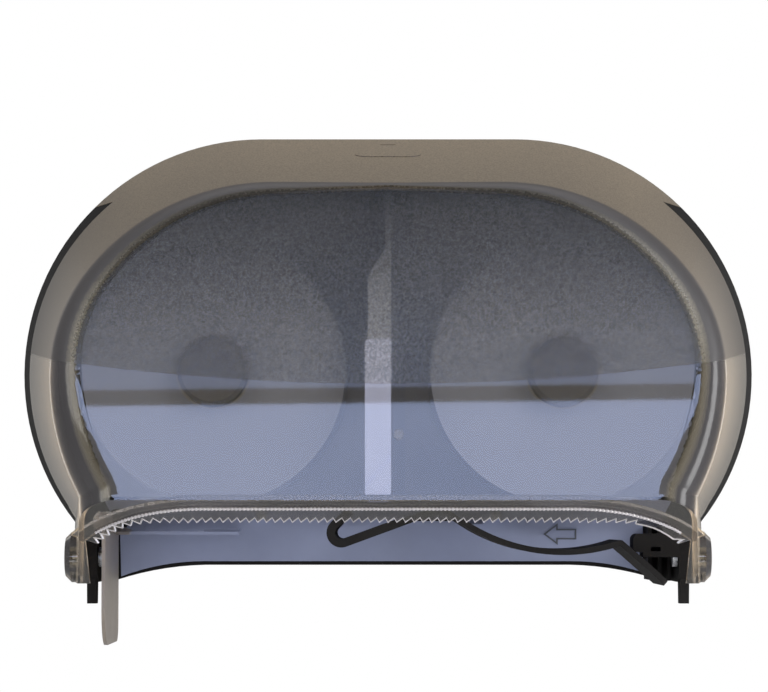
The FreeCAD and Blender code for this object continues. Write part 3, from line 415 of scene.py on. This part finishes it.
def smoke_hood():
    """Smoke plastic: frosted top and clear window on the face, bends and bands round it, with
    painted shade on the bends and the frosted sides and graded painted light and shade over the
    bands and the frosted face.
    """
    made, tree, shader = start("smoke_hood")
    where = place(tree)
    x, back, up = axes(tree, where)
    frost = frost_mask(tree, x, back, up)
    grain = ramp(tree, noise(tree, where, GRAIN_SCALE, 2.0), *GRAIN_SPAN)
    front = along(tree, (0, 1, 0))
    bend = ramp(tree, front, *BEND_ZONE)
    flat = ramp(tree, front, *FLAT_ZONE)
    chin = ramp(tree, along(tree, CHIN_IN), *CHIN_ZONE)
    window = math_node(tree, "MAXIMUM", flat, chin)
    side = ramp(tree, along(tree, (1, 0, 0)), *SIDE_ZONE)

    # Painted shade: the frosted face darkens towards its top
    frost_shade = ramp(tree, up, *FROST_TOP_SHADE)
    frosted = tinted(tree, shades(tree, grain, FROST, FROST_GRAIN), frost_shade)
    face = blend_colour(tree, chin, blend_colour(tree, frost, SMOKE, frosted), CHIN)
    # Painted light: the top band lightens towards its back
    top = tinted(tree, shades(tree, grain, BAND, BAND_GRAIN), ramp(tree, back, *TOP_BAND_LIGHT))
    # Painted shade: the frosted sides take a darker copy of the band colour
    sides = blend_colour(tree, frost, BAND_CLEAR, SIDE_FROST_SHADE)
    # Painted light on the front of the sides and low by the ears, painted shade towards their back
    sides = tinted(tree, sides, ramp(tree, back, *SIDE_LIGHT_FADE))
    sides = tinted(tree, sides, ramp(tree, up, *EAR_LIGHT_FADE))
    # Painted shade: the bends between face and bands are painted dark
    band = blend_colour(tree, bend, blend_colour(tree, side, top, sides), BEND_SHADE)
    join(tree, blend_colour(tree, window, band, face), shader.inputs["Base Color"])

    rough = blend_value(tree, frost, CLEAR_ROUGH, ramp(tree, grain, 0.0, 1.0, *FROST_ROUGH))
    band_rough = blend_value(tree, frost, *BAND_ROUGH)
    join(tree, blend_value(tree, window, band_rough, rough), shader.inputs["Roughness"])
    through = blend_value(tree, bend, blend_value(tree, frost, *BAND_THROUGH), BEND_THROUGH)
    join(tree, blend_value(tree, window, through, 1.0), shader.inputs["Transmission Weight"])
    shader.inputs["IOR"].default_value = PLASTIC_IOR
    calm = ramp(tree, window, 0.0, 1.0, 1.0, WINDOW_CALM)
    height = math_node(tree, "MULTIPLY", math_node(tree, "MULTIPLY", grain, frost), calm)
    bump(tree, shader, height, *HOOD_BUMP)
    return made


def smoke_clear(name, tint, rough, through):
    """Tinted see-through plastic with faint flow marks."""
    made, tree, shader = start(name)
    where = place(tree)
    flow = ramp(tree, noise(tree, where, FLOW_SCALE), *NOISE_SPAN)
    join(tree, shades(tree, flow, tint, (FLOW_SHADE, 1.0)), shader.inputs["Base Color"])
    gloss = ramp(tree, flow, 0.0, 1.0, rough, rough + GLOSS_SPREAD)
    join(tree, gloss, shader.inputs["Roughness"])
    shader.inputs["Transmission Weight"].default_value = through
    shader.inputs["IOR"].default_value = PLASTIC_IOR
    bump(tree, shader, noise(tree, where, RIPPLE_SCALE, 2.0), *RIPPLE_BUMP)
    return made


def lever_plastic():
    """Smoke plastic of the paddle; its thin tongue takes on the colour of the panel."""
    made = smoke_clear("smoke_lever", *CLEAR["smoke_lever"])
    tree = made.node_tree
    tongue = ramp(tree, axes(tree, place(tree))[0], *TONGUE_SPAN)
    repaint(made, tongue, PANEL)
    weight = tree.nodes["Principled BSDF"].inputs["Transmission Weight"]
    join(tree, blend_value(tree, tongue, weight.default_value, TONGUE_THROUGH), weight)
    return made


def metal():
    """Plated steel with fine scratches."""
    made, tree, shader = start("steel")
    scratch = noise(tree, place(tree), SCRATCH_SCALE)
    tone = blend_colour(tree, scratch, srgb(*STEEL_DARK), srgb(*STEEL_LIGHT))
    join(tree, tone, shader.inputs["Base Color"])
    join(tree, ramp(tree, scratch, *NOISE_SPAN, *STEEL_ROUGH), shader.inputs["Roughness"])
    shader.inputs["Metallic"].default_value = 1.0
    bump(tree, shader, scratch, *STEEL_BUMP)
    return made


MATERIALS = {
    "smoke_hood": smoke_hood(),
    "blue_grey_panel": panel_sheet(),
    "column": stepped_column(),
    "paper": wound_paper(),
    "smoke_lever": lever_plastic(),
    "steel": metal(),
}
for name, finish in MOULDED.items():
    if name not in MATERIALS:
        MATERIALS[name] = moulded(name, *finish)
for name, finish in CLEAR.items():
    if name not in MATERIALS:
        MATERIALS[name] = smoke_clear(name, *finish)

# Nodes that look other than their record slot
OWN_MATERIAL = {
    "spindle_cap_left": "spindle_cap",
    "spindle_cap_right": "spindle_cap",
    "divider_column": "column",
}
for part in frame["record"]["subparts"]:
    solid = frame["nodes"][part["node"]]
    solid.data.materials.clear()
    finish = OWN_MATERIAL.get(part["node"], part["material_slot"])
    solid.data.materials.append(MATERIALS[finish])


# Pieces on the mouth
def mouth_spot(run, depth, bend_r):
    """Point inside the mouth edge by depth, at a run from its middle along the bend radius."""
    side = math.copysign(1.0, run)
    turn = max(0.0, (abs(run) - MOUTH_HALF) / bend_r)
    across = side * (min(abs(run), MOUTH_HALF) + (MOUTH_R - depth) * math.sin(turn))
    down = MOUTH_EDGE + MOUTH_R - (MOUTH_R - depth) * math.cos(turn)
    return Vector((across, FACE_Y, CHIN_Z)) + CHIN_DOWN * down


def tube_faces(first, rings, sides):
    """Faces of a tube through rings of corners, closed at both ends."""
    last = first + (rings - 1) * sides
    faces = [tuple(range(first + sides - 1, first - 1, -1)), tuple(range(last, last + sides))]
    for ring in range(first, last, sides):
        for j in range(sides):
            k = (j + 1) % sides
            faces.append((ring + j, ring + k, ring + sides + k, ring + sides + j))
    return faces


def piece(name, corners, faces, materials, stand_in=None):
    """Mesh object that rides on the cover."""
    mesh = bpy.data.meshes.new(name)
    mesh.from_pydata([tuple(c) for c in corners], [], faces)
    for material in materials:
        mesh.materials.append(material)
    made = bpy.data.objects.new(name, mesh)
    bpy.context.scene.collection.objects.link(made)
    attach(made, "cover")
    if stand_in:
        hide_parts(stand_in)
    return made


def lip_bead():
    """Bead with fine ribs along the outer edge of the mouth, painted pale as the highlight of that
    edge.
    """
    reach = MOUTH_HALF + MOUTH_R * math.radians(BEAD_TURN_DEG)
    count = int(2 * reach / BEAD_PITCH) * BEAD_STEPS
    corners = []
    for i in range(count + 1):
        run = -reach + 2 * reach * i / count
        edge = mouth_spot(run, 0.0, MOUTH_R)
        out = (mouth_spot(run, -BEAD_OUT, MOUTH_R) - edge).normalized()
        centre = edge + BEAD_OUT * out - BEAD_R * CHIN_IN
        r = BEAD_R + BEAD_RIB * math.cos(2 * math.pi * i / BEAD_STEPS)
        for j in range(BEAD_SIDES):
            turn = 2 * math.pi * j / BEAD_SIDES
            corners.append(centre + r * (math.cos(turn) * out + math.sin(turn) * CHIN_IN))
    faces = tube_faces(0, count + 1, BEAD_SIDES)
    made = piece("lip_bead", corners, faces, [MATERIALS["bead"]])
    made.data.shade_smooth()


def strip_reach(run, bend_r):
    """Reach of the strip into the mouth, shorter round the bends."""
    turn = math.degrees((abs(run) - MOUTH_HALF) / bend_r)
    share = min(1.0, max(0.0, (turn - TAPER_FROM_DEG) / (TAPER_TO_DEG - TAPER_FROM_DEG)))
    share = share * share * (3 - 2 * share)
    return STRIP_REACH + share * (STRIP_END_REACH - STRIP_REACH)


def tooth_row(bend_r):
    """Run and depth of each tip and notch along the strip, with no notch in the smooth stretch."""
    reach = MOUTH_HALF + bend_r * math.radians(STRIP_TURN_DEG)
    count = int(reach / TOOTH_PITCH)
    row = []
    for i in range(-2 * count, 2 * count + 1):
        run = i * TOOTH_PITCH / 2
        depth = strip_reach(run, bend_r)
        if i % 2 == 0:
            row.append((run, depth))
        elif not SMOOTH_FROM < mouth_spot(run, depth, bend_r).x < SMOOTH_TO:
            row.append((run + TOOTH_LEAN * TOOTH_PITCH, depth - TOOTH_DEPTH))
    return row


def toothed_strip():
    """Smoke strip with a row of leaning teeth, their rounded edge painted pale as a highlight."""
    bend_r = MOUTH_R - STRIP_REACH
    row = tooth_row(bend_r)
    front, back = STRIP_IN * CHIN_IN, (STRIP_IN + STRIP_T) * CHIN_IN
    middle_in = (front + back) / 2
    across = TOOTH_EDGE_R * CHIN_IN
    sheet = []
    rim = []
    for run, depth in row:
        top = mouth_spot(run, -STRIP_LAP, bend_r)
        foot = mouth_spot(run, depth, bend_r)
        sheet += [top + front, foot + front, foot + back, top + back]
        down = TOOTH_EDGE_R * (foot - top).normalized()
        rim += [foot + middle_in + offset for offset in (across, down, -across, -down)]
    sheet_faces = tube_faces(0, len(row), STRIP_SIDES)
    rim_faces = tube_faces(len(sheet), len(row), STRIP_SIDES)
    # The rounded tooth edge gets a pale finish as a painted highlight
    finishes = [MATERIALS["clear_strip"], MATERIALS["cut_edge"]]
    made = piece("toothed_strip", sheet + rim, sheet_faces + rim_faces, finishes, "tear_strip")
    for face in made.data.polygons:
        face.material_index = int(face.index >= len(sheet_faces))
    made.visible_shadow = False


lip_bead()
toothed_strip()


# Stage, light and camera
def plain_floor():
    """Pale floor that keeps its shadows and looks a little paler to the camera than it is lit."""
    bpy.ops.mesh.primitive_plane_add(size=FLOOR_SIZE, location=(0, 0, FLOOR_Z))
    floor = bpy.context.object
    floor.name = "floor"
    made, tree, shader = start("floor")
    seen = node(tree, "ShaderNodeLightPath", {}).outputs["Is Camera Ray"]
    shine = math_node(tree, "MULTIPLY", seen, FLOOR_SHINE)
    join(tree, shine, shader.inputs["Emission Strength"])
    shader.inputs["Emission Color"].default_value = (1, 1, 1, 1)
    shader.inputs["Base Color"].default_value = srgb(FLOOR_GREY, FLOOR_GREY, FLOOR_GREY)
    shader.inputs["Roughness"].default_value = FLOOR_ROUGH
    floor.data.materials.append(made)


def studio_world():
    """White where the camera sees it, also through the hood, and soft grey as a light."""
    world = bpy.data.worlds.new("studio")
    world.use_nodes = True
    bpy.context.scene.world = world
    tree = world.node_tree
    sky = tree.nodes["Background"]
    path = node(tree, "ShaderNodeLightPath", {}).outputs
    seen = math_node(tree, "MAXIMUM", path["Is Camera Ray"], path["Is Transmission Ray"])
    join(tree, ramp(tree, seen, 0.0, 1.0, WORLD_LEVEL, 1.0), sky.inputs["Strength"])
    sky.inputs["Color"].default_value = (1, 1, 1, 1)


def lamp(name, where, aim, width, height, watts):
    """Soft rectangular lamp that faces the aim."""
    data = bpy.data.lights.new(name, "AREA")
    data.shape = "RECTANGLE"
    data.size, data.size_y, data.energy = width, height, watts
    made = bpy.data.objects.new(name, data)
    bpy.context.scene.collection.objects.link(made)
    made.location = where
    made.rotation_euler = (made.location - aim).to_track_quat("Z", "Y").to_euler()


def card(name, low, high, level):
    """Pale blue reflector behind the camera that shows only in glossy surfaces."""
    bpy.ops.mesh.primitive_plane_add(size=1.0, location=(0, CARD_Y, (low + high) / 2))
    made = bpy.context.object
    made.name = name
    made.rotation_euler = (math.radians(90), math.radians(CARD_TILT_DEG), 0)
    made.scale = (2 * CARD_HALF, high - low, 1)
    glow = bpy.data.materials.new(name)
    glow.use_nodes = True
    tree = glow.node_tree
    tree.nodes.clear()
    light = node(tree, "ShaderNodeEmission", {"Color": CARD_LIGHT, "Strength": level})
    node(tree, "ShaderNodeOutputMaterial", {"Surface": light.outputs[0]})
    made.data.materials.append(glow)
    made.visible_camera = made.visible_diffuse = False
    made.visible_transmission = made.visible_shadow = False


def camera():
    data = bpy.data.cameras.new("camera")
    data.sensor_width = SENSOR_MM
    data.lens = LENS_MM
    made = bpy.data.objects.new("camera", data)
    bpy.context.scene.collection.objects.link(made)
    made.location = CAMERA_AT
    made.rotation_euler = (math.radians(90 + PITCH_DEG), 0, math.radians(YAW_DEG))
    bpy.context.scene.camera = made


plain_floor()
studio_world()
middle = (cad_box[0] + cad_box[1]) / 2
for name, (where, width, height, watts) in LAMPS.items():
    lamp(name, where, middle, width, height, watts)
for name, span in CARDS.items():
    card(name, *span)
camera()
frame["nodes"]["front_cover"].visible_shadow = False
bpy.context.scene.view_settings.view_transform = "Standard"
